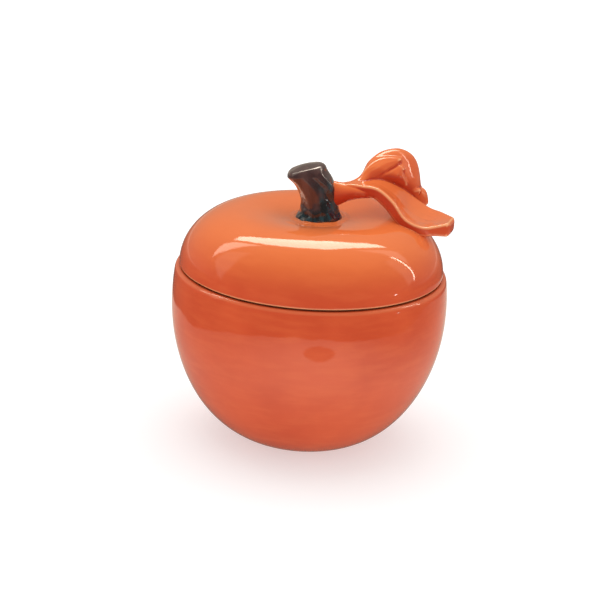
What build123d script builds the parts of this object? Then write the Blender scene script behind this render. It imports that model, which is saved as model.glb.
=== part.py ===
"""A glazed earthenware jar in the shape of a smooth pumpkin, with a lift-off lid.

The lid carries a stem and a sprig of two leaves, each pressed by hand and luted on with slip.
Millimetres, +Z up. The origin is the centre of the foot, on the surface that the jar stands on.
The leaves lie towards +X and the front of the jar faces -Y.
"""
from build123d import *
import math
import os

# Bowl
BELLY_RADIUS = 65.0
BELLY_HEIGHT = 67.0
BELLY_INSET = 17.6
FOOT_CUT = 0.6
FOOT_RECESS_RADIUS = 19.5
FOOT_RECESS_DEPTH = 1.6
WALL = 4.6
FLOOR = 5.5
RIM_RADIUS = 63.7
RIM_HEIGHT = 83.2
RIM_ROUNDING = 1.9
MOUTH_RADIUS = 57.5
MOUTH_DEPTH = 4.5

# Lid
SEAM_GAP = 0.6
LID_RADIUS = 62.1
LID_ROUNDING = 0.9
LIP_HEIGHT = RIM_HEIGHT + SEAM_GAP
LIP_WIDTH = 1.8
SHOULDER_RADIUS = 33.4
SHOULDER_HEIGHT = 110.2
DIMPLE_HEIGHT = 105.7
FLANGE_CLEARANCE = 0.9
FLANGE_THICKNESS = 3.6
FLANGE_DEPTH = 7.0
FLANGE_ROUNDING = 1.2
INNER_START_ANGLE = 20.0
INNER_STEP_HEIGHT = 3.3

# Stem
STEM_X = 2.2
STEM_TOP_TILT = 16.0
STEM_TOP_ROUNDING = 2.0
COLLAR_RADIUS = 12.0
COLLAR_THICKNESS = 3.0
COLLAR_Z = 106.6
COLLAR_TILT = 2.0

# Leaves
EDGE_BULGE = 1.4


def spin(outline):
    """The solid of revolution of a closed outline drawn in the XZ plane."""
    return revolve(make_face(outline), Axis.Z)


def ellipse_angle(height, y_radius):
    """The angle on an ellipse's lower right quarter at a height under its centre."""
    return 360 - math.degrees(math.asin(height / y_radius))


def make_bowl():
    """The thrown-looking bowl: an elliptical belly, a rounded rim and a hollow of even wall."""
    outer_y = BELLY_HEIGHT + FOOT_CUT
    foot_angle = ellipse_angle(BELLY_HEIGHT, outer_y)
    inner_y = BELLY_HEIGHT - FLOOR
    with BuildLine(Plane.XZ) as outline:
        belly = EllipticalCenterArc(
            (BELLY_INSET, BELLY_HEIGHT), BELLY_RADIUS - BELLY_INSET, outer_y,
            foot_angle, arc_size=360 - foot_angle,
        )
        upper = TangentArc((BELLY_RADIUS, BELLY_HEIGHT), (RIM_RADIUS, RIM_HEIGHT), tangent=(0, 1))
        mouth_low = RIM_HEIGHT - MOUTH_DEPTH
        Polyline(upper @ 1, (MOUTH_RADIUS, RIM_HEIGHT), (MOUTH_RADIUS, mouth_low))
        inner_radius = BELLY_RADIUS - WALL
        TangentArc((inner_radius, BELLY_HEIGHT), (MOUTH_RADIUS, mouth_low), tangent=(0, 1))
        EllipticalCenterArc(
            (BELLY_INSET, BELLY_HEIGHT), inner_radius - BELLY_INSET, inner_y, 270, arc_size=90
        )
        Polyline((BELLY_INSET, FLOOR), (0, FLOOR), (0, 0), belly @ 0)
    body = spin(outline.line)
    rim = body.edges().filter_by(GeomType.CIRCLE).filter_by_position(
        Axis.Z, RIM_HEIGHT - 0.01, RIM_HEIGHT + 0.01
    ).sort_by(SortBy.RADIUS)
    body = fillet(rim[-1], RIM_ROUNDING)
    rim = body.edges().filter_by(GeomType.CIRCLE).filter_by_position(
        Axis.Z, RIM_HEIGHT - 0.01, RIM_HEIGHT + 0.01
    ).sort_by(SortBy.RADIUS)
    body = fillet(rim[0], 1.0)
    recess = Cone(
        FOOT_RECESS_RADIUS, FOOT_RECESS_RADIUS - 1.5, FOOT_RECESS_DEPTH,
        align=(Align.CENTER, Align.CENTER, Align.MIN),
    )
    return body - recess


def lid_outline():
    """The outer edge of the lid's section, from its axis to its lip."""
    with BuildLine(Plane.XZ) as top:
        Spline(
            (0, DIMPLE_HEIGHT), (SHOULDER_RADIUS, SHOULDER_HEIGHT), tangents=[(1, 0), (1, 0)]
        )
        EllipticalCenterArc(
            (SHOULDER_RADIUS, LIP_HEIGHT), LID_RADIUS - SHOULDER_RADIUS,
            SHOULDER_HEIGHT - LIP_HEIGHT, 0, arc_size=90,
        )
    return top.line


def make_dome():
    """The lid's outer shape as one full solid, to trim what is luted on it."""
    with BuildLine(Plane.XZ) as outline:
        add(lid_outline())
        Polyline((LID_RADIUS, LIP_HEIGHT), (0, LIP_HEIGHT), (0, DIMPLE_HEIGHT))
    return spin(outline.line)


def make_lid():
    """The domed lid, hollow, with a seat on the rim and a flange that drops into the mouth."""
    flange_outer = MOUTH_RADIUS - FLANGE_CLEARANCE
    flange_inner = flange_outer - FLANGE_THICKNESS
    flange_low = RIM_HEIGHT - FLANGE_DEPTH
    seat_radius = LID_RADIUS - LIP_WIDTH
    inner_x = LID_RADIUS - SHOULDER_RADIUS - WALL
    inner_z = SHOULDER_HEIGHT - LIP_HEIGHT - WALL
    with BuildLine(Plane.XZ) as outline:
        add(lid_outline())
        inner = EllipticalCenterArc(
            (SHOULDER_RADIUS, LIP_HEIGHT), inner_x, inner_z,
            INNER_START_ANGLE, arc_size=90 - INNER_START_ANGLE,
        )
        Polyline(
            (LID_RADIUS, LIP_HEIGHT),
            (seat_radius, LIP_HEIGHT),
            (seat_radius, RIM_HEIGHT),
            (flange_outer, RIM_HEIGHT),
            (flange_outer, flange_low),
            (flange_inner, flange_low),
            (flange_inner, RIM_HEIGHT + INNER_STEP_HEIGHT),
            inner @ 0,
        )
        Spline(
            (0, DIMPLE_HEIGHT - WALL), (SHOULDER_RADIUS, SHOULDER_HEIGHT - WALL),
            tangents=[(1, 0), (1, 0)],
        )
        Line((0, DIMPLE_HEIGHT - WALL), (0, DIMPLE_HEIGHT))
    body = spin(outline.line)
    circles = body.edges().filter_by(GeomType.CIRCLE)
    lip = circles.filter_by_position(Axis.Z, LIP_HEIGHT - 0.01, LIP_HEIGHT + 0.01)
    body = fillet(lip.sort_by(SortBy.RADIUS)[-1], LID_ROUNDING)
    circles = body.edges().filter_by(GeomType.CIRCLE)
    body = fillet(circles.filter_by_position(Axis.Z, flange_low - 0.01, flange_low + 0.01), FLANGE_ROUNDING)
    return body


def oval(x_radius, y_radius):
    """A flat oval whose outline always starts on its local +X side."""
    points = [
        (x_radius * math.cos(math.radians(turn)), y_radius * math.sin(math.radians(turn)))
        for turn in range(0, 360, 45)
    ]
    return make_face(Spline(points, periodic=True))


def slice_across(centre, x_radius, y_radius, tilt=0.0):
    """An oval section of the stem, level or tipped towards -X."""
    return Pos(*centre) * Rot(0, -tilt, 0) * oval(x_radius, y_radius)


def make_stem(dome, collar):
    """A stubby cut stem: flared at its foot, waisted, leaning to -X and cut on a slant."""
    sections = [
        slice_across((STEM_X, 0, DIMPLE_HEIGHT - 1.5), 11.6, 11.4),
        slice_across((STEM_X - 0.1, 0, DIMPLE_HEIGHT + 2.3), 10.9, 10.6),
        slice_across((STEM_X - 0.2, 0, DIMPLE_HEIGHT + 5.8), 9.3, 9.0),
        slice_across((STEM_X - 0.7, 0, DIMPLE_HEIGHT + 11.3), 8.4, 8.1, 2),
        slice_across((STEM_X - 2.9, 0, DIMPLE_HEIGHT + 18.3), 9.3, 8.6, 9),
        slice_across((STEM_X - 7.4, 0, DIMPLE_HEIGHT + 25.8), 9.5, 8.8, STEM_TOP_TILT),
    ]
    stem = loft(Sketch() + sections)
    top = stem.faces().sort_by(Axis.Z)[-1]
    stem = fillet(top.edges(), STEM_TOP_ROUNDING)
    return stem - dome - collar


def make_collar(dome):
    """The low ring of slip that seats the stem in the lid's dimple."""
    ring = Torus(COLLAR_RADIUS, COLLAR_THICKNESS / 2)
    return Pos(STEM_X, 0, COLLAR_Z) * Rot(0, -COLLAR_TILT, 0) * ring - dome


def make_stalk(stem, dome, collar):
    """The leaf stalk: it flares out of the stem's side and reaches the leaves' fork."""
    stations = [
        (STEM_X + 4.0, 119.2, 4.8, 6.8),
        (STEM_X + 8.5, 119.7, 4.8, 5.6),
        (STEM_X + 12.0, 120.7, 4.7, 4.6),
        (STEM_X + 18.0, 122.2, 5.2, 3.6),
    ]
    sections = [
        Plane((x, 0, z), x_dir=(0, 1, 0), z_dir=(1, 0, 0)) * oval(y_radius, z_radius)
        for x, z, y_radius, z_radius in stations
    ]
    return loft(Sketch() + sections) - stem - dome - collar


def leaf_section(near, far, ahead, thickness, sag):
    """A slab section between two margins, hollowed along its top by sag."""
    near, far, ahead = Vector(near), Vector(far), Vector(ahead)
    across = (far - near).normalized()
    down = across.cross(ahead).normalized()
    if down.Z > 0:
        down = down * -1
    middle = (near + far) * 0.5
    top = ThreePointArc(near, middle + down * sag, far)
    far_side = ThreePointArc(far, far + down * thickness / 2 + across * EDGE_BULGE, far + down * thickness)
    bottom = ThreePointArc(
        far + down * thickness, middle + down * (thickness + sag * 0.6), near + down * thickness
    )
    near_side = ThreePointArc(
        near + down * thickness, near + down * thickness / 2 - across * EDGE_BULGE, near
    )
    return Face(Wire([top, far_side, bottom, near_side]))


def make_leaf(stations):
    """A thick leaf lofted through (near margin, far margin, thickness, sag) stations."""
    middles = [(Vector(near) + Vector(far)) * 0.5 for near, far, _, _ in stations]
    sections = []
    for i, (near, far, thickness, sag) in enumerate(stations):
        ahead = middles[min(i + 1, len(middles) - 1)] - middles[max(i - 1, 0)]
        sections.append(leaf_section(near, far, ahead, thickness, sag))
    return loft(Sketch() + sections)


def make_front_leaf():
    """The leaf that arches over, drapes down the shoulder and kicks up at its tip."""
    return make_leaf([
        ((19.0, -4.6, 125.2), (20.0, 4.6, 126.2), 5.8, 0.4),
        ((28.5, -6.8, 125.8), (29.5, 9.0, 126.4), 6.4, 1.0),
        ((36.2, -9.2, 120.9), (39.6, 14.7, 121.9), 6.6, 1.8),
        ((42.6, -11.0, 113.5), (47.6, 17.2, 116.2), 6.4, 2.4),
        ((49.6, -11.0, 110.4), (54.6, 15.8, 112.2), 6.2, 2.4),
        ((54.6, -10.4, 110.7), (60.2, 13.2, 111.3), 7.0, 1.4),
        ((58.6, -8.6, 111.5), (65.0, 7.6, 111.7), 7.4, 0.5),
    ])


def make_rear_leaf():
    """The leaf that stands up behind the first one and curls down to the lid."""
    return make_leaf([
        ((13.6, 0.4, 122.6), (13.0, 3.2, 124.4), 3.4, -0.2),
        ((20.6, 1.6, 126.0), (18.2, 6.6, 128.2), 5.2, -0.3),
        ((25.8, 5.2, 127.2), (22.1, 12.6, 134.1), 6.6, -0.5),
        ((33.2, 9.4, 126.6), (29.9, 18.6, 137.9), 7.0, -0.8),
        ((40.6, 13.0, 123.6), (39.0, 23.4, 137.6), 7.0, -0.8),
        ((46.8, 17.0, 118.4), (46.5, 27.9, 131.7), 6.8, -0.6),
        ((50.8, 19.8, 112.6), (51.5, 29.2, 121.0), 6.0, -0.4),
        ((52.4, 22.0, 108.4), (53.0, 27.8, 112.8), 4.6, -0.2),
    ])


def main():
    os.makedirs("parts", exist_ok=True)
    dome = make_dome()
    collar = make_collar(dome)
    stem = make_stem(dome, collar)
    stalk = make_stalk(stem, dome, collar)
    front_leaf = make_front_leaf() - dome - stalk
    rear_leaf = make_rear_leaf() - dome - stalk - front_leaf
    parts = {
        "bowl": make_bowl(),
        "lid": make_lid(),
        "stem_collar": collar,
        "stem": stem,
        "leaf_stalk": stalk,
        "front_leaf": front_leaf,
        "rear_leaf": rear_leaf,
    }
    for name, shape in parts.items():
        export_step(shape, f"parts/{name}.step")


main()
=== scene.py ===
"""The looks of the lidded pumpkin jar: glazed bowl and lid, cut stem, fused leaf sprig, studio.

Shapes are worked out in millimetres in the part's own frame and stored in metres.
"""

import math

import bmesh
import bpy
import numpy as np
from mathutils import Matrix, Vector
from mathutils.kdtree import KDTree


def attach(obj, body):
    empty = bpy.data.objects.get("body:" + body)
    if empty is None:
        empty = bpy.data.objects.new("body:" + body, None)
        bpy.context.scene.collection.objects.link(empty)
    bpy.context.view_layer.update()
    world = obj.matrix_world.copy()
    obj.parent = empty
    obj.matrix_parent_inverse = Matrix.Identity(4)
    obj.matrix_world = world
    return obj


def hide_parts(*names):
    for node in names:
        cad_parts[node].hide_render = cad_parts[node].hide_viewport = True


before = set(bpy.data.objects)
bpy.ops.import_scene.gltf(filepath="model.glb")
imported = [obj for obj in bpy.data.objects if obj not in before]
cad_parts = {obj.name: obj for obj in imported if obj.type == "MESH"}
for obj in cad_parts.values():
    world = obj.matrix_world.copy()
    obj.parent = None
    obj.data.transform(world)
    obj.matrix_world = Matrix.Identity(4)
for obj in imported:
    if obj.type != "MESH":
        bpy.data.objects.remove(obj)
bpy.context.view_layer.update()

MM = 0.001
SEED = 7

# Bowl, in millimetres
BELLY_RADIUS = 65.0
BELLY_HEIGHT = 67.0
BELLY_INSET = 17.6
FOOT_CUT = 0.6
FOOT_RECESS_RADIUS = 19.5
FOOT_RECESS_DEPTH = 1.6
WALL = 4.6
FLOOR = 5.5
RIM_RADIUS = 63.7
RIM_HEIGHT = 83.2
RIM_ROUNDING = 1.9
MOUTH_RADIUS = 57.5
MOUTH_DEPTH = 4.5

# Lid
SEAM_GAP = 0.6
LIP_HEIGHT = RIM_HEIGHT + SEAM_GAP
LID_RADIUS = 62.1
LID_ROUNDING = 0.9
LIP_WIDTH = 1.8
SHOULDER_RADIUS = 33.4
SHOULDER_HEIGHT = 110.2
DIMPLE_HEIGHT = 105.7
FLANGE_OUTER = 56.6
FLANGE_INNER = 53.0
FLANGE_LOW = 76.2
INNER_START_ANGLE = 20.0
INNER_STEP_HEIGHT = 3.3

# Stem, the slip ring round its foot, and the lid's low swells under the stem and the leaves
STEM_X = 2.2
STEM_SINK = 1.2
COLLAR_RADIUS = 11.8
COLLAR_RISE = 1.15
COLLAR_SPREAD = 1.2
FOOT_SWELL = 0.9
FOOT_SWELL_SPREAD = 26
SPRIG_SWELL = 0.8
SPRIG_SWELL_SPREAD = 10
SPRIG_SWELL_AT = (28, 33)

# Bare clay: the foot's ring, and the seat on the rim where the lid rests
BARE_FOOT_RADIUS = 24.2
BARE_SEAT_RADIUS = 59.0
BARE_SEAT_HALF_WIDTH = 1.0

# How far a turned shell is drawn in by hand, and over what wavelength
HAND_WOBBLE = 0.16
HAND_WAVELENGTH = 46.0

# Mesh fineness
SEGMENTS = 288
PROFILE_STEP = 0.25
PROFILE_TOLERANCE = 0.004
PROFILE_LONGEST = 1.4
CORNER_SOFTNESS = 0.30
SPRIG_VOXEL = 0.30
SKIN_ROUNDS = 26
FOLD_ROUNDS = 10

# Leaf sections and the rounded end of a leaf
FRONT_LEAF_SQUARENESS = 5.0
REAR_LEAF_SQUARENESS = 3.2
LEAF_OVERHANG = 0.7
LEAF_TIP = 3.4
LEAF_TIP_START = math.radians(38)
LEAF_TIP_TAPER = 1.7
LEAF_TIP_RINGS = 10


# ---------------------------------------------------------------- shape helpers

def arc(centre_r, centre_z, r_radius, z_radius, start, end):
    """Points along part of an ellipse, angles in degrees."""
    turn = np.radians(np.linspace(start, end, 160))
    return np.c_[centre_r + r_radius * np.cos(turn), centre_z + z_radius * np.sin(turn)]


def swell(start, end):
    """An S-shaped rise between two profile points, level at both ends."""
    share = np.linspace(0, 1, 120)
    rise = 0.5 - 0.5 * np.cos(np.pi * share)
    return np.c_[start[0] + (end[0] - start[0]) * share, start[1] + (end[1] - start[1]) * rise]


def even_path(points, step):
    """A path resampled at even steps along its length."""
    points = np.asarray(points, float)
    gaps = np.linalg.norm(np.diff(points, axis=0), axis=1)
    points = points[np.r_[True, gaps > 1e-6]]
    reach = np.r_[0, np.cumsum(np.linalg.norm(np.diff(points, axis=0), axis=1))]
    at = np.linspace(0, reach[-1], int(reach[-1] / step) + 1)
    return np.stack([np.interp(at, reach, column) for column in points.T], axis=1)


def soften(path, radius, step):
    """A path with its corners rounded by a running average; the ends stay in place."""
    half = int(4 * radius / step)
    kernel = np.exp(-0.5 * (np.arange(-half, half + 1) * step / radius) ** 2)
    kernel /= kernel.sum()
    before = 2 * path[0] - path[half:0:-1]
    after = 2 * path[-1] - path[-2:-half - 2:-1]
    padded = np.vstack([before, path, after])
    return np.stack([np.convolve(column, kernel, "valid") for column in padded.T], axis=1)


def thin_out(path, tolerance, longest):
    """Keeps the points that a path needs to stay within tolerance of its shape."""
    kept = [0]
    for i in range(1, len(path) - 1):
        chord = path[i + 1] - path[kept[-1]]
        away = path[kept[-1]:i + 1] - path[kept[-1]]
        offset = np.abs(away[:, 0] * chord[1] - away[:, 1] * chord[0]) / np.linalg.norm(chord)
        if offset.max() > tolerance or np.linalg.norm(chord) > longest:
            kept.append(i)
    return path[kept + [len(path) - 1]]


def smooth_step(low, high, value):
    """0 below low, 1 above high and an S-shaped rise between."""
    share = np.clip((value - low) / (high - low), 0, 1)
    return share * share * (3 - 2 * share)


def ripple(points, wavelength, seed, waves=10):
    """A smooth random field of about unit size, made of plane waves."""
    random = np.random.default_rng(SEED + seed)
    headings = random.normal(size=(waves, 3))
    headings /= np.linalg.norm(headings, axis=1)[:, None]
    lengths = wavelength * random.uniform(0.7, 1.5, waves)
    phases = random.uniform(0, 2 * np.pi, waves)
    field = np.sin(points @ (headings / lengths[:, None] * 2 * np.pi).T + phases)
    return field.sum(1) / math.sqrt(waves / 2)


def curve_through(stations, count):
    """Even samples of a Catmull-Rom curve through rows of numbers."""
    rows = np.asarray(stations, float)
    rows = np.vstack([2 * rows[0] - rows[1], rows, 2 * rows[-1] - rows[-2]])
    at = np.linspace(0, len(rows) - 3 - 1e-9, count)
    i = at.astype(int)
    t = (at - i)[:, None]
    a, b, c, d = rows[i], rows[i + 1], rows[i + 2], rows[i + 3]
    return 0.5 * (2 * b + (c - a) * t + (2 * a - 5 * b + 4 * c - d) * t ** 2
                  + (3 * b - a - 3 * c + d) * t ** 3)


def tube_faces(rings, around):
    """Quads between successive closed rings of points."""
    i = np.arange(rings - 1)[:, None]
    j = np.arange(around)[None, :]
    k = (j + 1) % around
    quads = np.stack([i * around + j, i * around + k, (i + 1) * around + k, (i + 1) * around + j], -1)
    return quads.reshape(-1, 4).tolist()


def fan(ring_start, around, pole):
    """Triangles from a ring of points to one pole."""
    return [(ring_start + j, ring_start + (j + 1) % around, pole) for j in range(around)]


def closed_skin(rings, around, ends=None):
    """Points and faces of rings joined into a closed skin, with a pole at each end."""
    if ends is None:
        ends = [rings[0].mean(0), rings[-1].mean(0)]
    last = (len(rings) - 1) * around
    pole = len(rings) * around
    faces = tube_faces(len(rings), around) + fan(0, around, pole) + fan(last, around, pole + 1)
    return np.vstack(rings + [np.array(ends)]), faces


def mesh_object(name, points, faces):
    """A new smooth-shaded object from points in millimetres, its normals facing out."""
    mesh = bpy.data.meshes.new(name)
    mesh.from_pydata((np.asarray(points) * MM).tolist(), [], faces)
    work = bmesh.new()
    work.from_mesh(mesh)
    bmesh.ops.recalc_face_normals(work, faces=work.faces)
    work.to_mesh(mesh)
    work.free()
    mesh.shade_smooth()
    obj = bpy.data.objects.new(name, mesh)
    bpy.context.scene.collection.objects.link(obj)
    return obj


def points_of(mesh):
    """A mesh's points in millimetres."""
    flat = np.empty(len(mesh.vertices) * 3, np.float32)
    mesh.vertices.foreach_get("co", flat)
    return flat.reshape(-1, 3).astype(float) / MM


def normals_of(mesh):
    """A mesh's point normals."""
    flat = np.empty(len(mesh.vertices) * 3, np.float32)
    mesh.vertex_normals.foreach_get("vector", flat)
    return flat.reshape(-1, 3).astype(float)


def set_points(mesh, points):
    """Moves a mesh's points to places in millimetres."""
    mesh.vertices.foreach_set("co", (points * MM).astype(np.float32).ravel())
    mesh.update()


def edges_of(mesh):
    """A mesh's edges, as a pair of point numbers a row."""
    flat = np.empty(len(mesh.edges) * 2, np.int32)
    mesh.edges.foreach_get("vertices", flat)
    return flat.reshape(-1, 2)


def neighbour_mean(values, edges):
    """The mean of each point's neighbours, for one number or a row of numbers a point."""
    values = np.asarray(values, float)
    count = np.bincount(edges.ravel(), minlength=len(values))
    columns = values.reshape(len(values), -1)
    total = np.stack([
        np.bincount(edges[:, 0], columns[edges[:, 1], c], len(values))
        + np.bincount(edges[:, 1], columns[edges[:, 0], c], len(values))
        for c in range(columns.shape[1])
    ], axis=1)
    return (total / np.maximum(count, 1)[:, None]).reshape(values.shape)


def relax(points, edges, rounds):
    """Taubin smoothing, which rounds creases and hardly shrinks the shape."""
    for _ in range(rounds):
        points = points + 0.5 * (neighbour_mean(points, edges) - points)
        points = points - 0.52 * (neighbour_mean(points, edges) - points)
    return points


def bend_of(mesh, rounds):
    """Mean curvature at each point, per millimetre, above 0 where the surface is convex."""
    points, normals, edges = points_of(mesh), normals_of(mesh), edges_of(mesh)
    run = points[edges[:, 1]] - points[edges[:, 0]]
    square = np.maximum((run ** 2).sum(1), 1e-8)
    at_first = -2 * (run * normals[edges[:, 0]]).sum(1) / square
    at_second = 2 * (run * normals[edges[:, 1]]).sum(1) / square
    count = np.maximum(np.bincount(edges.ravel(), minlength=len(points)), 1)
    bend = (np.bincount(edges[:, 0], at_first, len(points))
            + np.bincount(edges[:, 1], at_second, len(points))) / count
    for _ in range(rounds):
        bend = 0.5 * bend + 0.5 * neighbour_mean(bend, edges)
    return bend


def paint(mesh, name, values):
    """Stores one number a point, for a material to read."""
    attribute = mesh.attributes.new(name, "FLOAT", "POINT")
    attribute.data.foreach_set("value", np.asarray(values, np.float32))


def paint_glaze(mesh, thin_glaze_and_highlight, pooled, rounds, under=0.0, upper=1.0, pale=0.0):
    """Stores where the glaze runs thinner over an edge, paler, with a painted highlight; where it pools in
    a hollow, with painted shade on surfaces facing down; and painted light from above on surfaces facing
    up, plus any extra given.

    The first two arguments are curvatures, from none of the effect to all of it.
    """
    bend = bend_of(mesh, rounds)
    upward = normals_of(mesh)[:, 2]
    # glaze thinned over convex edges, paler, and a painted highlight along them
    paint(mesh, "thin_glaze_and_highlight", smooth_step(thin_glaze_and_highlight[0], thin_glaze_and_highlight[1], bend))
    # darker glaze pooled in hollows, and painted shade on surfaces that face down
    hollow = smooth_step(pooled[0], pooled[1], -bend)
    paint(mesh, "pooled_glaze_and_shade", np.maximum(hollow, under * smooth_step(0.5, -0.2, upward)))
    # painted light from above: paler colour on surfaces facing up, and on points given extra
    paint(mesh, "upper", np.maximum(upper * smooth_step(0.15, 1.0, upward), pale))


# ---------------------------------------------------------------- bowl and lid

def lid_surface(radius):
    """The height of the lid's outer surface at a distance from the axis."""
    radius = np.minimum(np.asarray(radius, float), LID_RADIUS)
    out = np.clip((radius - SHOULDER_RADIUS) / (LID_RADIUS - SHOULDER_RADIUS), 0, 1)
    dome = LIP_HEIGHT + (SHOULDER_HEIGHT - LIP_HEIGHT) * np.sqrt(1 - out ** 2)
    share = np.minimum(radius / SHOULDER_RADIUS, 1)
    dip = DIMPLE_HEIGHT + (SHOULDER_HEIGHT - DIMPLE_HEIGHT) * (0.5 - 0.5 * np.cos(np.pi * share))
    return np.where(radius > SHOULDER_RADIUS, dome, dip)


def bowl_profile():
    """The bowl's section from under its middle, round its rim, to its inner floor."""
    outer_z = BELLY_HEIGHT + FOOT_CUT
    foot_angle = -math.degrees(math.asin(BELLY_HEIGHT / outer_z))
    inner_radius = BELLY_RADIUS - WALL
    rim_start = RIM_HEIGHT - RIM_ROUNDING
    parts = [
        [(0, FOOT_RECESS_DEPTH), (FOOT_RECESS_RADIUS - 1.5, FOOT_RECESS_DEPTH), (FOOT_RECESS_RADIUS, 0)],
        arc(BELLY_INSET, BELLY_HEIGHT, BELLY_RADIUS - BELLY_INSET, outer_z, foot_angle, 0),
        upper_wall(BELLY_RADIUS, BELLY_HEIGHT, RIM_RADIUS, RIM_HEIGHT, rim_start),
        arc(RIM_RADIUS + 0.2 - RIM_ROUNDING, rim_start, RIM_ROUNDING, RIM_ROUNDING, 0, 90),
        arc(MOUTH_RADIUS + 1.0, RIM_HEIGHT - 1.0, 1.0, 1.0, 90, 180),
        [(MOUTH_RADIUS, RIM_HEIGHT - MOUTH_DEPTH)],
        upper_wall(inner_radius, BELLY_HEIGHT, MOUTH_RADIUS, RIM_HEIGHT - MOUTH_DEPTH)[::-1],
        arc(BELLY_INSET, BELLY_HEIGHT, inner_radius - BELLY_INSET, BELLY_HEIGHT - FLOOR, 0, -90),
        [(0, FLOOR)],
    ]
    return finish_profile(parts)


def upper_wall(low_radius, low, high_radius, high, stop=None):
    """The wall above the belly: it leaves straight up and leans in as a circular arc."""
    inward, rise = low_radius - high_radius, high - low
    bend = (inward ** 2 + rise ** 2) / (2 * inward)
    heights = np.linspace(low, high if stop is None else stop, 60)
    return np.c_[low_radius - bend + np.sqrt(bend ** 2 - (heights - low) ** 2), heights]


def lid_profile():
    """The lid's section from over its dimple, round its lip and flange, to its ceiling."""
    inner_r = LID_RADIUS - SHOULDER_RADIUS - WALL
    inner_z = SHOULDER_HEIGHT - LIP_HEIGHT - WALL
    seat = LID_RADIUS - LIP_WIDTH
    outer = np.linspace(0, LID_RADIUS * 0.97, 200)
    outer_r, outer_z = LID_RADIUS - SHOULDER_RADIUS, SHOULDER_HEIGHT - LIP_HEIGHT
    steep = arc(SHOULDER_RADIUS, LIP_HEIGHT, outer_r, outer_z, 21, 2.1)
    flat = outer[outer < steep[0, 0]]
    parts = [
        np.c_[flat, lid_surface(flat)],
        steep,
        arc(LID_RADIUS - LID_ROUNDING, LIP_HEIGHT + LID_ROUNDING, LID_ROUNDING, LID_ROUNDING, 0, -90),
        [(seat, LIP_HEIGHT), (seat, RIM_HEIGHT), (FLANGE_OUTER, RIM_HEIGHT), (FLANGE_OUTER, FLANGE_LOW),
         (FLANGE_INNER, FLANGE_LOW), (FLANGE_INNER, RIM_HEIGHT + INNER_STEP_HEIGHT)],
        arc(SHOULDER_RADIUS, LIP_HEIGHT, inner_r, inner_z, INNER_START_ANGLE, 90),
        swell((0, DIMPLE_HEIGHT - WALL), (SHOULDER_RADIUS, SHOULDER_HEIGHT - WALL))[::-1],
    ]
    return finish_profile(parts)


def finish_profile(parts):
    """Joins a profile's parts, with soft corners and its two ends on the axis."""
    path = even_path(np.vstack([np.asarray(p, float) for p in parts]), PROFILE_STEP)
    path = soften(path, CORNER_SOFTNESS, PROFILE_STEP)
    path[[0, -1], 0] = 0
    return thin_out(path, PROFILE_TOLERANCE, PROFILE_LONGEST)


def lathe(name, profile, shape=None):
    """A closed turned shell. shape may move its points, given as an array of millimetres."""
    turn = np.arange(SEGMENTS) * 2 * np.pi / SEGMENTS
    ring = profile[1:-1]
    x = ring[:, :1] * np.cos(turn)
    y = ring[:, :1] * np.sin(turn)
    z = np.repeat(ring[:, 1:], SEGMENTS, axis=1)
    points = np.stack([x, y, z], -1).reshape(-1, 3)
    poles = np.array([[0, 0, profile[0, 1]], [0, 0, profile[-1, 1]]])
    points = np.vstack([points, poles])
    if shape is not None:
        points = shape(points)
    count = len(ring)
    faces = tube_faces(count, SEGMENTS)
    faces += fan(0, SEGMENTS, count * SEGMENTS)
    faces += fan((count - 1) * SEGMENTS, SEGMENTS, count * SEGMENTS + 1)
    return mesh_object(name, points, faces)


def hand_made(points, seed):
    """Draws a turned surface in by a slow wobble, as a pressed shell has."""
    wave = 0.5 + 0.5 * np.clip(0.6 * ripple(points, HAND_WAVELENGTH, seed), -1, 1)
    radius = np.maximum(np.hypot(points[:, 0], points[:, 1]), 1e-6)
    weight = smooth_step(8, 25, radius)
    scale = 1 - HAND_WOBBLE * wave * weight / radius
    moved = points.copy()
    moved[:, :2] *= scale[:, None]
    return moved


def make_bowl():
    """The glazed bowl, with bare clay on its foot and on the seat in its rim."""
    bowl = lathe("bowl_glazed", bowl_profile(), lambda points: hand_made(points, 1))
    mesh = bowl.data
    points = points_of(mesh)
    radius = np.hypot(points[:, 0], points[:, 1])
    paint_glaze(mesh, (0.17, 0.60), (0.08, 0.30), 2, upper=0.15)
    edge = BARE_FOOT_RADIUS + 0.5 * ripple(points, 9.0, 5)
    foot = smooth_step(0.3, -0.3, radius - edge) * smooth_step(0.75, 0.45, points[:, 2])
    foot = np.where(radius < FOOT_RECESS_RADIUS - 0.6, 0, foot)
    from_seat = np.abs(radius - BARE_SEAT_RADIUS) - BARE_SEAT_HALF_WIDTH
    on_rim = smooth_step(RIM_HEIGHT - 0.3, RIM_HEIGHT - 0.1, points[:, 2])
    seat = smooth_step(0.15, -0.15, from_seat) * on_rim
    paint(mesh, "bare", np.clip(foot + seat, 0, 1))
    return bowl


def slip_ring(points):
    """Raises the ring of slip round the stem's foot, and the swells, on the lid's outer surface."""
    moved = hand_made(points, 2)
    away = np.hypot(points[:, 0] - STEM_X, points[:, 1])
    spread = COLLAR_SPREAD * (1 + 0.12 * ripple(points, 14.0, 3))
    crest = COLLAR_RADIUS + 0.35 * ripple(points, 17.0, 4)
    rise = COLLAR_RISE * np.exp(-((away - crest) / spread) ** 2)
    rise = rise + FOOT_SWELL * np.exp(-(away / FOOT_SWELL_SPREAD) ** 2)
    from_leaf = np.hypot(points[:, 0] - SPRIG_SWELL_AT[0], points[:, 1] - SPRIG_SWELL_AT[1])
    rise = rise + SPRIG_SWELL * np.exp(-(from_leaf / SPRIG_SWELL_SPREAD) ** 2)
    on_top = points[:, 2] > DIMPLE_HEIGHT - 1
    moved[:, 2] += np.where(on_top, rise, 0)
    return moved


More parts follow.
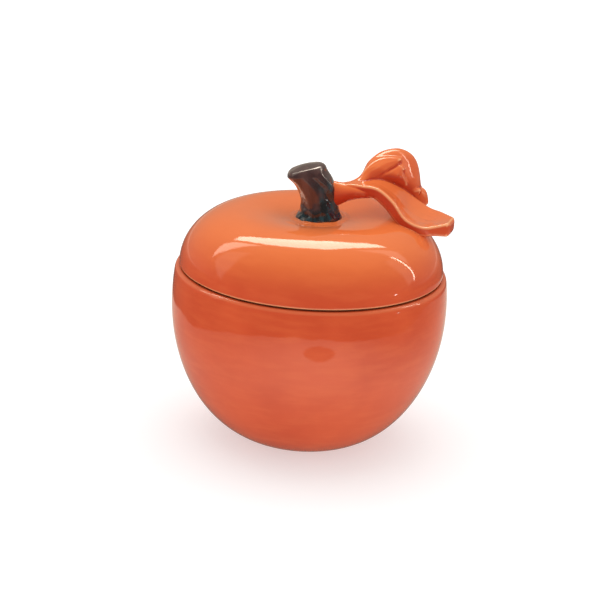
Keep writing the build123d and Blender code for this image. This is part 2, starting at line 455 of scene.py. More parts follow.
def make_lid():
    """The glazed lid, with a bare flange and painted shade under its lip, where it meets the bowl's rim."""
    lid = lathe("lid_glazed", lid_profile(), slip_ring)
    mesh = lid.data
    points = points_of(mesh)
    radius = np.hypot(points[:, 0], points[:, 1])
    paint_glaze(mesh, (0.20, 0.60), (0.05, 0.25), 2)
    low = smooth_step(RIM_HEIGHT + 0.4, RIM_HEIGHT, points[:, 2])
    outside = smooth_step(FLANGE_INNER + 0.6, FLANGE_INNER + 1.2, radius)
    lip = smooth_step(-2.4, -2.1, radius - LID_RADIUS) * smooth_step(0.0, -0.5, radius - LID_RADIUS)
    paint(mesh, "bare", low * outside * (1 - lip))
    # painted shade on the lip's underside and inner wall, in the gap over the bowl's rim
    paint(mesh, "painted_seam_shade", lip * smooth_step(LIP_HEIGHT + 0.4, LIP_HEIGHT + 0.1, points[:, 2]))
    return lid


# ---------------------------------------------------------------- stem

# height above the dimple, centre x, half width along x, half width along y, tilt in degrees
STEM_STATIONS = [
    (-STEM_SINK, STEM_X, 12.0, 10.4, 0),
    (0.6, STEM_X, 11.7, 10.1, 0),
    (2.5, STEM_X - 0.1, 10.9, 9.6, 0),
    (5.8, STEM_X - 0.2, 9.3, 8.7, 0),
    (11.3, STEM_X - 0.7, 8.4, 8.1, 2),
    (18.3, STEM_X - 2.9, 9.3, 8.6, 9),
    (23.2, STEM_X - 6.8, 9.6, 8.8, 16),
]
STEM_END_ROUNDING = 3.0
STEM_END_DOME = 1.0
STEM_AROUND = 160
STEM_UP = 120
STEM_END_RINGS = 26
STEM_RIM_SHARE = 0.4


def make_stem():
    """The cut stem: ovals along its lean, and a domed end with a rounded rim."""
    around, up, cap = STEM_AROUND, STEM_UP, STEM_END_RINGS
    rows = curve_through(STEM_STATIONS, up)
    turn = np.arange(around) * 2 * np.pi / around
    rings = []
    for i, (height, x, wide, deep, tilt) in enumerate(rows):
        rings.append(stem_ring(turn, height, x, wide, deep, tilt))
    height, x, wide, deep, tilt = rows[-1]
    for i in range(1, cap):
        share = i / cap
        if share < STEM_RIM_SHARE:
            bend = math.radians(90 * share / STEM_RIM_SHARE)
            inset = STEM_END_ROUNDING * (1 - math.cos(bend))
            rise = STEM_END_ROUNDING * math.sin(bend)
        else:
            along = (share - STEM_RIM_SHARE) / (1 - STEM_RIM_SHARE)
            inset = STEM_END_ROUNDING + (wide - STEM_END_ROUNDING) * along
            rise = STEM_END_ROUNDING + STEM_END_DOME * math.sin(along * math.pi / 2)
        shrink = max(1 - inset / wide, 0)
        rings.append(stem_ring(turn, height, x, wide * shrink, deep * shrink, tilt, rise))
    top = stem_ring(turn, height, x, 0, 0, tilt, STEM_END_ROUNDING + STEM_END_DOME)[0]
    points = np.vstack(rings + [top[None], [[STEM_X, 0, DIMPLE_HEIGHT - STEM_SINK]]])
    count = len(rings)
    faces = tube_faces(count, around) + fan((count - 1) * around, around, count * around)
    faces += fan(0, around, count * around + 1)
    stem = mesh_object("cut_stem", stem_relief(points), faces)
    mesh = stem.data
    paint_glaze(mesh, (0.16, 0.45), (0.05, 0.25), 2)
    paint_teal(mesh)
    return stem


def paint_teal(mesh):
    """Stores where the brown glaze breaks to blue-green: the foot and the right side."""
    points = points_of(mesh)
    low = smooth_step(DIMPLE_HEIGHT + 9, DIMPLE_HEIGHT + 4, points[:, 2] + 1.6 * ripple(points, 9.0, 21))
    across = points[:, 0] + 0.25 * (points[:, 2] - 117)
    side = smooth_step(1.5, 6.0, across + 1.5 * ripple(points, 8.0, 22))
    below = smooth_step(DIMPLE_HEIGHT + 25, DIMPLE_HEIGHT + 17, points[:, 2])
    paint(mesh, "teal", np.clip(low + side * below, 0, 1))


def stem_ring(turn, height, x, wide, deep, tilt, rise=0.0):
    """One oval ring of the stem, tipped towards -X by tilt; rise is measured along the stem."""
    lean = math.radians(tilt)
    across, along = wide * np.cos(turn), np.full_like(turn, rise)
    return np.c_[
        x + across * math.cos(lean) - along * math.sin(lean),
        deep * np.sin(turn),
        DIMPLE_HEIGHT + height + across * math.sin(lean) + along * math.cos(lean),
    ]


def stem_relief(points):
    """Twisted ridges on the stem's right and front, and a lumpy foot."""
    height = points[:, 2] - DIMPLE_HEIGHT
    axis = np.interp(height, [row[0] for row in STEM_STATIONS], [row[1] for row in STEM_STATIONS])
    spoke = np.c_[points[:, 0] - axis, points[:, 1]]
    reach = np.maximum(np.linalg.norm(spoke, axis=1), 1e-6)
    turn = np.arctan2(spoke[:, 1], spoke[:, 0])
    body = smooth_step(0, 3, height) * smooth_step(29, 23, height) * smooth_step(1, 5, reach)
    twist = turn + 0.045 * (height - 10)
    ridges = 0.45 * np.cos(4 * twist + 0.6) + 0.25 * np.cos(7 * twist + 2.0)
    right = 0.35 + 0.65 * (0.5 + 0.5 * np.cos(turn + 0.3))
    lumps = 0.22 * ripple(points, 5.0, 23) * smooth_step(9, 3, height)
    shift = np.clip(body * (ridges * right + lumps - 0.15), -0.8, 0.35)
    moved = points.copy()
    moved[:, :2] += spoke / reach[:, None] * shift[:, None]
    return moved


# ---------------------------------------------------------------- leaves

# near margin, far margin, thickness, hollow of the upper face
FRONT_LEAF = [
    ((9.6, -1.2, 124.2), (9.8, 1.6, 124.3), 2.6, 0.0),
    ((14.2, -2.0, 125.1), (14.6, 2.6, 125.3), 4.2, 0.0),
    ((19.4, -3.7, 125.7), (20.0, 4.3, 126.1), 5.8, 0.2),
    ((28.5, -6.6, 125.8), (29.5, 9.0, 126.4), 6.2, 1.0),
    ((36.2, -9.0, 120.9), (39.6, 14.7, 121.9), 6.6, 1.8),
    ((42.6, -10.8, 113.5), (47.6, 17.2, 116.2), 6.4, 2.4),
    ((49.6, -10.8, 110.4), (54.6, 15.8, 112.2), 6.0, 2.4),
    ((55.0, -10.0, 110.6), (60.0, 12.4, 111.2), 6.0, 1.4),
    ((61.4, -6.9, 111.0), (65.0, 5.4, 110.8), 7.1, 0.5),
]
REAR_LEAF = [
    ((14.0, 0.4, 122.6), (13.4, 3.0, 124.2), 2.6, -0.2),
    ((20.6, 1.6, 125.6), (19.6, 6.4, 127.2), 5.2, -0.3),
    ((26.4, 5.0, 126.6), (24.0, 12.5, 133.2), 7.2, -0.5),
    ((33.4, 9.2, 126.4), (31.0, 18.4, 137.2), 8.0, -0.7),
    ((40.6, 12.8, 123.4), (40.0, 23.3, 137.4), 8.0, -0.8),
    ((46.4, 16.8, 118.2), (47.2, 27.6, 132.0), 7.6, -0.8),
    ((49.4, 19.6, 112.6), (49.8, 28.0, 121.0), 6.6, -0.5),
    ((50.8, 21.4, 108.8), (51.2, 26.6, 112.6), 5.0, -0.3),
]
# x, height, half depth, half height
STALK = [
    (STEM_X + 1.0, 119.2, 4.4, 6.8),
    (STEM_X + 6.0, 119.3, 4.5, 6.4),
    (STEM_X + 8.5, 119.7, 4.6, 5.6),
    (STEM_X + 12.0, 120.7, 4.8, 4.5),
    (STEM_X + 17.0, 121.7, 5.5, 3.7),
    (STEM_X + 25.0, 121.9, 5.4, 2.7),
]
# the lobe at the rear leaf's foot
LOBE_CENTRE = (49.3, 23.6, 113.6)
LOBE_SIZE = (4.2, 4.4, 5.2)
# outlines of the rear leaf's raised folds, seen from the front, as (x, z), and their rise
FOLDS = [
    ([(19.6, 126.4), (21.7, 129.8), (24.0, 132.2), (27.6, 134.1), (31.4, 134.8), (35.7, 134.6),
      (38.3, 134.0), (39.5, 133.0), (38.0, 131.5), (36.3, 130.4), (33.5, 129.4), (29.9, 127.2),
      (24.0, 125.0)], 1.6),
    ([(29.9, 127.3), (33.5, 129.4), (36.3, 130.4), (38.0, 131.4), (39.9, 130.7), (41.4, 128.8),
      (40.2, 127.9), (41.2, 125.6), (42.8, 123.3), (43.2, 121.7), (42.4, 120.6), (38.0, 118.0),
      (31.0, 123.0)], 1.5),
    ([(44.8, 118.4), (47.2, 119.2), (49.3, 119.3), (51.3, 117.1), (53.2, 114.1), (54.6, 110.0),
      (46.0, 110.0)], 1.8),
]
FOLD_FACING = (0.45, -0.85, 0.45)


def leaf_points(stations, square, around=72, along=90):
    """A leaf's closed skin: squarish slab sections that follow its margins."""
    flat = [[*near, *far, thick, sag] for near, far, thick, sag in stations]
    rows = curve_through(flat, along)
    near, far, thick, sag = rows[:, :3], rows[:, 3:6], rows[:, 6], rows[:, 7]
    middle = (near + far) / 2
    ahead = np.gradient(middle, axis=0)
    across = far - near
    width = np.linalg.norm(across, axis=1)
    across /= width[:, None]
    down = np.cross(across, ahead)
    down /= np.linalg.norm(down, axis=1)[:, None]
    down *= -np.sign(down[:, 2:])
    turn = np.arange(around) * 2 * np.pi / around
    power = 2 / square
    side = np.sign(np.cos(turn)) * np.abs(np.cos(turn)) ** power
    drop = 0.5 - 0.5 * np.sign(np.sin(turn)) * np.abs(np.sin(turn)) ** power
    rings = []
    for i in range(along):
        rings.append(leaf_ring(middle[i], across[i], down[i], width[i], thick[i], sag[i], side, drop))
    ring = rings[-1]
    centre = ring.mean(0)
    spread = (ring - centre) @ across[-1]
    depth = (ring - centre) @ down[-1]
    forward = np.cross(across[-1], down[-1])
    forward *= np.sign(forward @ ahead[-1])
    for step in range(1, LEAF_TIP_RINGS):
        bend = LEAF_TIP_START + (math.pi / 2 - LEAF_TIP_START) * step / LEAF_TIP_RINGS
        reach = LEAF_TIP * (math.sin(bend) - math.sin(LEAF_TIP_START))
        inset = LEAF_TIP * (math.cos(LEAF_TIP_START) - math.cos(bend))
        narrow = 1 - LEAF_TIP_TAPER * inset / spread.max()
        thinner = 1 - inset / depth.max()
        side_steps = (spread * narrow)[:, None] * across[-1]
        rings.append(centre + forward * reach + side_steps + (depth * thinner)[:, None] * down[-1])
    return closed_skin(rings, around)


def leaf_ring(middle, across, down, width, thick, sag, side, drop):
    """One slab section of a leaf; side and drop run round its squarish outline."""
    reach = side * (width / 2 + LEAF_OVERHANG)
    fall = drop * thick + sag * (1 - side ** 2) * (1 - 0.4 * drop)
    return middle + reach[:, None] * across + fall[:, None] * down


def stalk_points(around=64, along=50):
    """The stalk's closed skin: ovals along an arch."""
    rows = curve_through(STALK, along)
    turn = np.arange(around) * 2 * np.pi / around
    rings = [
        np.c_[np.full(around, x), deep * np.cos(turn), z + tall * np.sin(turn)] for x, z, deep, tall in rows
    ]
    return closed_skin(rings, around)


def lobe_points(around=40, along=24):
    """The rounded lobe at the rear leaf's foot, as a closed egg shape."""
    turn = np.arange(around) * 2 * np.pi / around
    rings = []
    for tilt in np.linspace(0, np.pi, along + 2)[1:-1]:
        across = np.sin(tilt)
        rings.append(np.c_[across * np.cos(turn), across * np.sin(turn), np.full(around, np.cos(tilt))])
    unit, faces = closed_skin(rings, around, [[0.0, 0.0, 1.0], [0.0, 0.0, -1.0]])
    return unit * LOBE_SIZE + LOBE_CENTRE, faces


def fused(name, skins):
    """Joins overlapping closed skins into one even-meshed skin."""
    points, faces, start = [], [], 0
    for skin, skin_faces in skins:
        points.append(skin)
        faces += [tuple(v + start for v in f) for f in skin_faces]
        start += len(skin)
    rough = mesh_object(name + "_rough", np.vstack(points), faces)
    remesh = rough.modifiers.new("fuse", "REMESH")
    remesh.mode = "VOXEL"
    remesh.voxel_size = SPRIG_VOXEL * MM
    bpy.context.view_layer.update()
    graph = bpy.context.evaluated_depsgraph_get()
    mesh = bpy.data.meshes.new_from_object(rough.evaluated_get(graph))
    bpy.data.objects.remove(rough)
    mesh.name = name
    obj = bpy.data.objects.new(name, mesh)
    bpy.context.scene.collection.objects.link(obj)
    return obj


def inside_distance(outline, points):
    """Distance from each 2-D point to a closed outline, above 0 inside it."""
    corners = np.vstack([outline, outline[:1]])
    a, b = corners[:-1], corners[1:]
    run = b - a
    nearest = np.full(len(points), np.inf)
    winding = np.zeros(len(points))
    for start, end, step in zip(a, b, run):
        away = points - start
        share = np.clip((away @ step) / (step @ step), 0, 1)
        nearest = np.minimum(nearest, np.linalg.norm(away - share[:, None] * step, axis=1))
        to_end = points - end
        cross = away[:, 0] * to_end[:, 1] - away[:, 1] * to_end[:, 0]
        winding += np.arctan2(cross, (away * to_end).sum(1))
    return np.where(np.abs(winding) > np.pi, nearest, -nearest)


def nearness(points, skin):
    """Distance from each point to the nearest point of a skin."""
    tree = KDTree(len(skin))
    for i, place in enumerate(skin):
        tree.insert(place, i)
    tree.balance()
    return np.array([tree.find(p)[2] for p in points])


def leaf_relief(points, normals, front_skin, rear_skin):
    """Raised folds on the rear leaf's face, where it stands clear of the front leaf."""
    clear = nearness(points, front_skin) - nearness(points, rear_skin)
    facing = smooth_step(0.10, 0.5, normals @ np.array(FOLD_FACING))
    is_rear = smooth_step(0.0, 4.5, clear) * facing
    moved = points.copy()
    seen = points[:, [0, 2]]
    for outline, rise in FOLDS:
        inner = inside_distance(curve_closed(outline), seen)
        dome = smooth_step(-0.7, 1.2, inner) * (0.6 + 0.4 * smooth_step(0, 4.5, inner))
        moved += normals * (rise * dome * is_rear)[:, None]
    return moved


def curve_closed(outline):
    """A smooth closed curve near the corners of an outline."""
    rows = np.asarray(outline, float)
    count = len(rows)
    at = np.linspace(0, count, count * 8, endpoint=False)
    i = at.astype(int)
    t = (at - i)[:, None]
    a, b, c = rows[i - 1], rows[i % count], rows[(i + 1) % count]
    start, end = (a + b) / 2, (b + c) / 2
    return (1 - t) ** 2 * start + 2 * t * (1 - t) * b + t ** 2 * end


def make_sprig():
    """The stalk, both leaves and the lobe as one glazed skin that sits on the lid."""
    front = leaf_points(FRONT_LEAF, FRONT_LEAF_SQUARENESS)
    rear = leaf_points(REAR_LEAF, REAR_LEAF_SQUARENESS)
    sprig = fused("leaf_sprig", [stalk_points(), front, rear, lobe_points()])
    mesh = sprig.data
    edges = edges_of(mesh)
    points = relax(points_of(mesh), edges, SKIN_ROUNDS)
    set_points(mesh, points)
    points = leaf_relief(points, normals_of(mesh), front[0], rear[0])
    points = relax(points, edges, FOLD_ROUNDS)
    radius = np.hypot(points[:, 0], points[:, 1])
    floor = lid_surface(radius) - 0.35
    points[:, 2] = np.where(radius < LID_RADIUS, np.maximum(points[:, 2], floor), points[:, 2])
    set_points(mesh, points)
    mesh.shade_smooth()
    # painted light: the rear leaf's colour made paler towards the back
    rear_leaf_painted_light = 0.40 * smooth_step(3, 9, points[:, 1])
    # how strong the painted shade is on the sprig's downward-facing surfaces, less towards the front leaf's
    # tip
    side_shade = 1.0 - 0.8 * smooth_step(44, 52, points[:, 0])
    paint_glaze(mesh, (0.17, 0.50), (0.05, 0.26), 9, side_shade, pale=rear_leaf_painted_light)
    paint(mesh, "bare", np.zeros(len(points)))
    return sprig


# ---------------------------------------------------------------- materials

def new_material(name):
    material = bpy.data.materials.new(name)
    material.use_nodes = True
    nodes = material.node_tree.nodes
    nodes.clear()
    shader = nodes.new("ShaderNodeBsdfPrincipled")
    output = nodes.new("ShaderNodeOutputMaterial")
    material.node_tree.links.new(shader.outputs["BSDF"], output.inputs["Surface"])
    return material, shader


def attribute_node(tree, name):
    node = tree.nodes.new("ShaderNodeAttribute")
    node.attribute_name = name
    return node.outputs["Fac"]


def noise_node(tree, scale, detail=3.0, stretch=(1, 1, 1)):
    """Object-space noise; scale is in features a metre."""
    place = tree.nodes.new("ShaderNodeTexCoord")
    mapping = tree.nodes.new("ShaderNodeMapping")
    mapping.inputs["Scale"].default_value = stretch
    noise = tree.nodes.new("ShaderNodeTexNoise")
    noise.inputs["Scale"].default_value = scale
    noise.inputs["Detail"].default_value = detail
    tree.links.new(place.outputs["Object"], mapping.inputs["Vector"])
    tree.links.new(mapping.outputs["Vector"], noise.inputs["Vector"])
    return noise.outputs["Fac"]


def ramp_node(tree, value, low, high):
    """0 to 1 as value goes from low to high."""
    node = tree.nodes.new("ShaderNodeMapRange")
    node.interpolation_type = "SMOOTHSTEP"
    node.inputs["From Min"].default_value = low
    node.inputs["From Max"].default_value = high
    tree.links.new(value, node.inputs["Value"])
    return node.outputs["Result"]


def times(tree, value, other):
    node = tree.nodes.new("ShaderNodeMath")
    node.operation = "MULTIPLY"
    tree.links.new(value, node.inputs[0])
    if isinstance(other, (int, float)):
        node.inputs[1].default_value = other
    else:
        tree.links.new(other, node.inputs[1])
    return node.outputs[0]


# the mixing node has sockets of one name for each data type, and the colour ones come last
def colour_mix(tree, share, first, second):
    node = tree.nodes.new("ShaderNodeMix")
    node.data_type = "RGBA"
    tree.links.new(share, node.inputs[0])
    for index, colour in ((6, first), (7, second)):
        if isinstance(colour, tuple):
            node.inputs[index].default_value = (*colour, 1)
        else:
            tree.links.new(colour, node.inputs[index])
    return node.outputs[2]


def bump_node(tree, height, distance, under=None):
    """Relief as tall as distance, in millimetres, on top of the relief under it."""
    node = tree.nodes.new("ShaderNodeBump")
    node.inputs["Distance"].default_value = distance * MM
    tree.links.new(height, node.inputs["Height"])
    if under is not None:
        tree.links.new(under, node.inputs["Normal"])
    return node.outputs["Normal"]


# Glaze colours and the bare clay's
ORANGE_RED = (0.62, 0.078, 0.027)
ORANGE_WARM = (0.70, 0.100, 0.034)
ORANGE_STREAK = (0.80, 0.160, 0.050)
# painted light from above, on surfaces facing up
ORANGE_TOP_LIT = (0.92, 0.235, 0.060)
# glaze pooled in hollows, and painted shade on surfaces that face down
ORANGE_POOLED_AND_SHADED = (0.44, 0.026, 0.010)
# glaze thinned over edges, and a painted highlight on them
ORANGE_THIN_AND_HIGHLIGHT = (0.93, 0.44, 0.20)
BARE_CLAY = (0.66, 0.47, 0.33)
# painted shade in the gap between the lid's lip and the bowl's rim
SEAM_SHADE_COLOUR = (0.075, 0.008, 0.014)
BROWN_DARK = (0.052, 0.024, 0.024)
BROWN_PALE = (0.088, 0.042, 0.038)
# the stem glaze thinned over edges, and a painted highlight on them
BROWN_THIN_AND_HIGHLIGHT = (0.170, 0.085, 0.070)
TEAL_DARK = (0.010, 0.013, 0.016)
TEAL_PALE = (0.016, 0.052, 0.064)
GLAZE_ROUGHNESS = 0.045
BARE_ROUGHNESS = 0.75
STEM_ROUGHNESS = 0.09
GLAZE_IOR = 1.50
STEM_IOR = 1.55


def orange_glaze():
    material, shader = new_material("orange_glaze")
    tree = material.node_tree
    broad = ramp_node(tree, noise_node(tree, 28, 4.0), 0.32, 0.68)
    colour = colour_mix(tree, broad, ORANGE_RED, ORANGE_WARM)
    streak = ramp_node(tree, noise_node(tree, 60, 5.0, (1.0, 1.0, 5.0)), 0.42, 0.72)
    colour = colour_mix(tree, times(tree, streak, 0.22), colour, ORANGE_STREAK)
    # painted light from above: paler on surfaces facing up
    upper = times(tree, attribute_node(tree, "upper"), 0.70)
    colour = colour_mix(tree, upper, colour, ORANGE_TOP_LIT)
    # darker where glaze pools in hollows, and painted shade on surfaces facing down
    pooled_glaze_and_shade = times(tree, attribute_node(tree, "pooled_glaze_and_shade"), 0.85)
    colour = colour_mix(tree, pooled_glaze_and_shade, colour, ORANGE_POOLED_AND_SHADED)
    # paler where the glaze is thinned over edges, which also paints a highlight
    thin_glaze_and_highlight = times(tree, attribute_node(tree, "thin_glaze_and_highlight"), 0.75)
    colour = colour_mix(tree, thin_glaze_and_highlight, colour, ORANGE_THIN_AND_HIGHLIGHT)
    bare = attribute_node(tree, "bare")
    colour = colour_mix(tree, bare, colour, BARE_CLAY)
    # painted shade in the gap under the lid's lip
    colour = colour_mix(tree, attribute_node(tree, "painted_seam_shade"), colour, SEAM_SHADE_COLOUR)
    tree.links.new(colour, shader.inputs["Base Color"])
    rough = tree.nodes.new("ShaderNodeMapRange")
    rough.inputs["To Min"].default_value = GLAZE_ROUGHNESS
    rough.inputs["To Max"].default_value = BARE_ROUGHNESS
    tree.links.new(bare, rough.inputs["Value"])
    tree.links.new(rough.outputs["Result"], shader.inputs["Roughness"])
    slow = bump_node(tree, noise_node(tree, 75, 2.0), 0.10)
    fine = bump_node(tree, noise_node(tree, 520, 3.0), 0.012, under=slow)
    tree.links.new(fine, shader.inputs["Normal"])
    shader.inputs["IOR"].default_value = GLAZE_IOR
    shader.inputs["Coat Weight"].default_value = 0.1
    shader.inputs["Coat Roughness"].default_value = 0.04
    return material


def stem_glaze():
    material, shader = new_material("stem_glaze")
    tree = material.node_tree
    streak = ramp_node(tree, noise_node(tree, 240, 4.0, (1.0, 1.0, 0.35)), 0.40, 0.66)
    brown = colour_mix(tree, streak, BROWN_DARK, BROWN_PALE)
    fleck = ramp_node(tree, noise_node(tree, 330, 5.0, (1.0, 1.0, 0.5)), 0.42, 0.62)
    green = colour_mix(tree, fleck, TEAL_DARK, TEAL_PALE)
    colour = colour_mix(tree, attribute_node(tree, "teal"), brown, green)
    # paler where the stem glaze is thinned over edges, which also paints a highlight
    thin_glaze_and_highlight = times(tree, attribute_node(tree, "thin_glaze_and_highlight"), 0.55)
    colour = colour_mix(tree, thin_glaze_and_highlight, colour, BROWN_THIN_AND_HIGHLIGHT)
    tree.links.new(colour, shader.inputs["Base Color"])
    shader.inputs["Roughness"].default_value = STEM_ROUGHNESS
    shader.inputs["IOR"].default_value = STEM_IOR
    shader.inputs["Coat Weight"].default_value = 0.8
    shader.inputs["Coat Roughness"].default_value = 0.05
    rough = noise_node(tree, 420, 4.0)
    near = bump_node(tree, times(tree, rough, attribute_node(tree, "teal")), 0.25)
    tree.links.new(bump_node(tree, noise_node(tree, 160, 3.0), 0.10, under=near), shader.inputs["Normal"])
    return material


# ---------------------------------------------------------------- studio

# metres
FLOOR_SIZE = 12.0
# millimetres and degrees
CAMERA_AIM = (0.0, 0.0, 55.0)
CAMERA_DISTANCE = 800.0
CAMERA_ELEVATION = 20.18
CAMERA_ROLL = 3.47
CAMERA_LENS = 100.8
CAMERA_SHIFT = (-0.01305, 0.03898)
# metres
DOME_RADIUS = 5.0
BACKDROP_RADIUS = 8.0
ROOM_COLOUR = (1.0, 0.86, 0.72)
# what the glaze mirrors: outlines on the flat sky, their light and the softness of their edges
WINDOWS = [
    ([(-31, 30), (-25, 35), (-14, 36), (-5, 39), (4, 41), (11, 38), (23, 34), (28, 31), (14, 25), (6, 19),
      (-6, 19), (-17, 22), (-25, 26)], 10.0, 1.2),
    ([(-64, 18), (-55, 22), (-41, 27), (-34, 26), (-29, 24), (-21, 19), (-29, 18), (-41, 16), (-52, 16)],
     4.5, 1.5),
    ([(-66, 12), (-48, 15), (-30, 6), (-42, 0), (-57, -9), (-68, -12), (-84, -13), (-82, -4)], 1.0, 4.0),
    ([(15, 21), (25, 25), (39, 29), (51, 24), (63, 17), (74, 14), (64, 20), (50, 20), (40, 17.5), (24, 19)],
     1.7, 2.0),
    ([(38.5, 18.2), (51.5, 17.6), (64, 17.5), (73, 17.2), (80, 14.5), (80, 13.6), (73, 16), (64, 16.2),
      (51.5, 16.2), (38.5, 17.2)], 20.0, 0.5),
    ([(40, 17), (52, 16.4), (64, 16.5), (73, 16), (80, 13.6), (84, 2), (68, 1), (52, 2), (40, 6)],
     0.95, 4.0),
]
# the bright table's outline in millimetres, and its light
TABLE = [(-197, 105), (-205, 66), (-199, 17), (-215, -55), (-215, -124), (-165, -244), (-57, -322),
         (93, -311), (191, -238), (264, -133), (298, -54), (431, 77), (415, 184), (150, 260), (-100, 220)]
TABLE_LEVEL = 0.52
TABLE_FRONT = 0.95
TABLE_BLUR = 4
# metres, watts
LIGHT_AIM = (0, 0, 0.08)
KEY_PLACE = (-0.06, 0.10, 0.85)
KEY_SIZE = (0.95, 0.80)
KEY_POWER = 3.2
SPARK_PLACE = (1.31, -0.35, 0.06)
SPARK_SIZE = (0.04, 0.04)
SPARK_POWER = 0.13
WORLD_STRENGTH = 0.76



def make_floor():
    """The pale square that the object stands on."""
    half = FLOOR_SIZE / 2
    corners = [(-half, -half, 0), (half, -half, 0), (half, half, 0), (-half, half, 0)]
    mesh = bpy.data.meshes.new("floor")
    mesh.from_pydata(corners, [], [(0, 1, 2, 3)])
    mesh.materials.append(floor_material())
    obj = bpy.data.objects.new("floor", mesh)
    obj.visible_glossy = False
    bpy.context.scene.collection.objects.link(obj)


def only_in_reflections(obj):
    obj.visible_camera = False
    obj.visible_diffuse = False
    obj.visible_shadow = False
    obj.visible_transmission = False
    obj.visible_volume_scatter = False
    return obj


def soft_light(name, place, size, power):
    """An area light, hidden from reflections: the reflected dome and floor are what the glaze mirrors."""
    light = bpy.data.lights.new(name, "AREA")
    light.shape = "RECTANGLE"
    light.size, light.size_y = size
    light.energy = power
    obj = bpy.data.objects.new(name, light)
    obj.location = place
    obj.rotation_euler = (Vector(LIGHT_AIM) - Vector(place)).to_track_quat("-Z", "Y").to_euler()
    obj.visible_glossy = False
    bpy.context.scene.collection.objects.link(obj)
    return obj


def make_world():
    world = bpy.data.worlds.new("studio")
    bpy.context.scene.world = world
    world.use_nodes = True
    world.node_tree.nodes["Background"].inputs["Color"].default_value = (1, 1, 1, 1)
    world.node_tree.nodes["Background"].inputs["Strength"].default_value = WORLD_STRENGTH


def glow_material(name, colour):
    """Plain light, as strong as the mesh's own glow number says."""
    material = bpy.data.materials.new(name)
    material.use_nodes = True
    tree = material.node_tree
    tree.nodes.clear()
    emission = tree.nodes.new("ShaderNodeEmission")
    emission.inputs["Color"].default_value = (*colour, 1)
    output = tree.nodes.new("ShaderNodeOutputMaterial")
    tree.links.new(attribute_node(tree, "glow"), emission.inputs["Strength"])
    tree.links.new(emission.outputs[0], output.inputs["Surface"])
    return material


def reflected(name, points, across, glow):
    """A glowing grid, with a row every across points, that shows only in reflections."""
    deep = len(points) // across
    i, j = np.meshgrid(np.arange(deep - 1), np.arange(across - 1), indexing="ij")
    first = (i * across + j).ravel()
    faces = np.stack([first, first + 1, first + across + 1, first + across], 1).tolist()
    mesh = bpy.data.meshes.new(name)
    mesh.from_pydata(points.tolist(), [], faces)
    paint(mesh, "glow", glow)
    mesh.materials.append(glow_material(name, ROOM_COLOUR))
    obj = bpy.data.objects.new(name, mesh)
    bpy.context.scene.collection.objects.link(obj)
    return only_in_reflections(obj)


def lit_shape(outline, places, blur):
    """1 inside an outline and 0 outside it, with a soft edge."""
    return smooth_step(-blur, blur, inside_distance(np.asarray(outline, float), places))


def backdrop():
    """A plain white surround that only the camera sees."""
    work = bmesh.new()
    bmesh.ops.create_uvsphere(work, u_segments=48, v_segments=24, radius=BACKDROP_RADIUS)
    mesh = bpy.data.meshes.new("backdrop")
    work.to_mesh(mesh)
    work.free()
    paint(mesh, "glow", np.ones(len(mesh.vertices)))
    mesh.materials.append(glow_material("backdrop", (1, 1, 1)))
    obj = bpy.data.objects.new("backdrop", mesh)
    bpy.context.scene.collection.objects.link(obj)
    only_in_reflections(obj)
    obj.visible_camera = True
    obj.visible_glossy = False


def reflected_dome():
    """What the glaze mirrors above the horizon.

    The room is drawn on a flat sky: angles from the zenith in degrees, +X to the right, +Y back.
    """
    across, deep = 721, 181
    turn, tilt = np.meshgrid(np.linspace(0, 2 * np.pi, across), np.linspace(0, 90, deep))
    turn, tilt = turn.ravel(), tilt.ravel()
    away = np.radians(tilt)
    points = DOME_RADIUS * np.c_[np.sin(away) * np.cos(turn), np.sin(away) * np.sin(turn), np.cos(away)]
    places = np.c_[tilt * np.cos(turn), tilt * np.sin(turn)]
    behind = smooth_step(-30, 40, places[:, 1])
    glow = 0.14 + 0.22 * behind
    glow = glow + 0.30 * behind * smooth_step(70, 20, tilt)
    for outline, level, blur in WINDOWS:
        near = np.abs(places - np.mean(outline, 0)).max(1) < 75
        light = np.zeros(len(places))
        light[near] = lit_shape(outline, places[near], blur) * level
        glow = np.maximum(glow, light)
    return reflected("reflected_dome", points, across, glow)


def reflected_floor():
    """What the glaze mirrors below the horizon: a bright table on a dim ground."""
    side = 481
    steps = np.linspace(-1, 1, side)
    spread = 90 * steps + 5000 * steps ** 5 + 500 * steps ** 3
    x, y = np.meshgrid(spread, spread)
    places = np.c_[x.ravel(), y.ravel()]
    radius = np.hypot(places[:, 0], places[:, 1])
    front = np.exp(-((places[:, 0] - 20) ** 2 + (places[:, 1] + 170) ** 2) / (2 * 120 ** 2))
    shade = 0.2 + 0.8 * smooth_step(30, 120, radius)
    level = TABLE_LEVEL + TABLE_FRONT * front + 0.20 * smooth_step(40, 180, places[:, 1])
    level *= 1 - 0.45 * smooth_step(120, 300, places[:, 0])
    table = lit_shape(TABLE, places, TABLE_BLUR) * level * shade
    spot = ((places[:, 0] - 34) / 42) ** 2 + ((places[:, 1] + 218) / 42) ** 2
    table *= 0.25 + 0.75 * smooth_step(0.8, 1.15, spot)
    ground = 0.12 + 0.60 * smooth_step(100, 2600, places[:, 1])
    points = np.c_[places * MM, np.full(len(places), 0.0004)]
    return reflected("reflected_floor", points, side, np.maximum(table, ground))


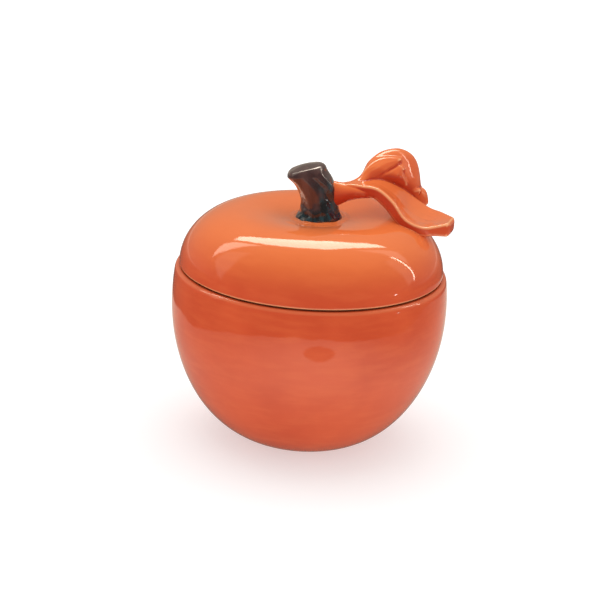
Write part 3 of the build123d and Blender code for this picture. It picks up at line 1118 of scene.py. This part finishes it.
def floor_material():
    """A pale matt floor that glows everywhere and more far away, so that its far end stays white and the
    object's shadow on it stays faint.
    """
    material, shader = new_material("floor")
    shader.inputs["Base Color"].default_value = (0.56, 0.56, 0.56, 1)
    shader.inputs["Roughness"].default_value = 0.9
    shader.inputs["Emission Color"].default_value = (1, 1, 1, 1)
    tree = material.node_tree
    place = tree.nodes.new("ShaderNodeTexCoord")
    away = tree.nodes.new("ShaderNodeVectorMath")
    away.operation = "LENGTH"
    tree.links.new(place.outputs["Object"], away.inputs[0])
    far = ramp_node(tree, away.outputs["Value"], -0.60, 0.9)
    glow = tree.nodes.new("ShaderNodeMath")
    glow.operation = "MULTIPLY_ADD"
    glow.inputs[1].default_value = 0.40
    glow.inputs[2].default_value = 0.34
    tree.links.new(far, glow.inputs[0])
    tree.links.new(glow.outputs[0], shader.inputs["Emission Strength"])
    return material


def make_studio():
    make_world()
    make_floor()
    backdrop()
    reflected_dome()
    reflected_floor()
    soft_light("key", KEY_PLACE, KEY_SIZE, KEY_POWER)
    spark = soft_light("spark", SPARK_PLACE, SPARK_SIZE, SPARK_POWER)
    spark.visible_glossy = True


def make_camera():
    data = bpy.data.cameras.new("camera")
    data.lens = CAMERA_LENS
    data.sensor_width = 36.0
    data.shift_x, data.shift_y = CAMERA_SHIFT
    camera = bpy.data.objects.new("camera", data)
    bpy.context.scene.collection.objects.link(camera)
    lift = math.radians(CAMERA_ELEVATION)
    back = Vector((0, -math.cos(lift), math.sin(lift)))
    camera.location = (Vector(CAMERA_AIM) + back * CAMERA_DISTANCE) * MM
    facing = (-back).to_track_quat("-Z", "Y").to_matrix().to_4x4()
    camera.rotation_euler = (facing @ Matrix.Rotation(math.radians(CAMERA_ROLL), 4, "Z")).to_euler()
    bpy.context.scene.camera = camera


# ---------------------------------------------------------------- the whole scene

def main():
    glaze = orange_glaze()
    bowl = make_bowl()
    lid = make_lid()
    stem = make_stem()
    sprig = make_sprig()
    # real clay would throw a shadow: without it, the lid under the arch stays bright
    sprig.visible_shadow = False
    for obj, material, body, slot, nodes in (
        (bowl, glaze, "bowl", "orange_glaze", ["bowl"]),
        (lid, glaze, "lid", "orange_glaze", ["lid", "stem_collar"]),
        (stem, stem_glaze(), "lid", "stem_glaze", ["stem"]),
        (sprig, glaze, "lid", "orange_glaze", ["leaf_stalk", "front_leaf", "rear_leaf"]),
    ):
        obj.data.materials.clear()
        obj.data.materials.append(material)
        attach(obj, body)
        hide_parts(*nodes)
    make_studio()
    make_camera()
    bpy.context.scene.view_settings.view_transform = "Standard"


main()
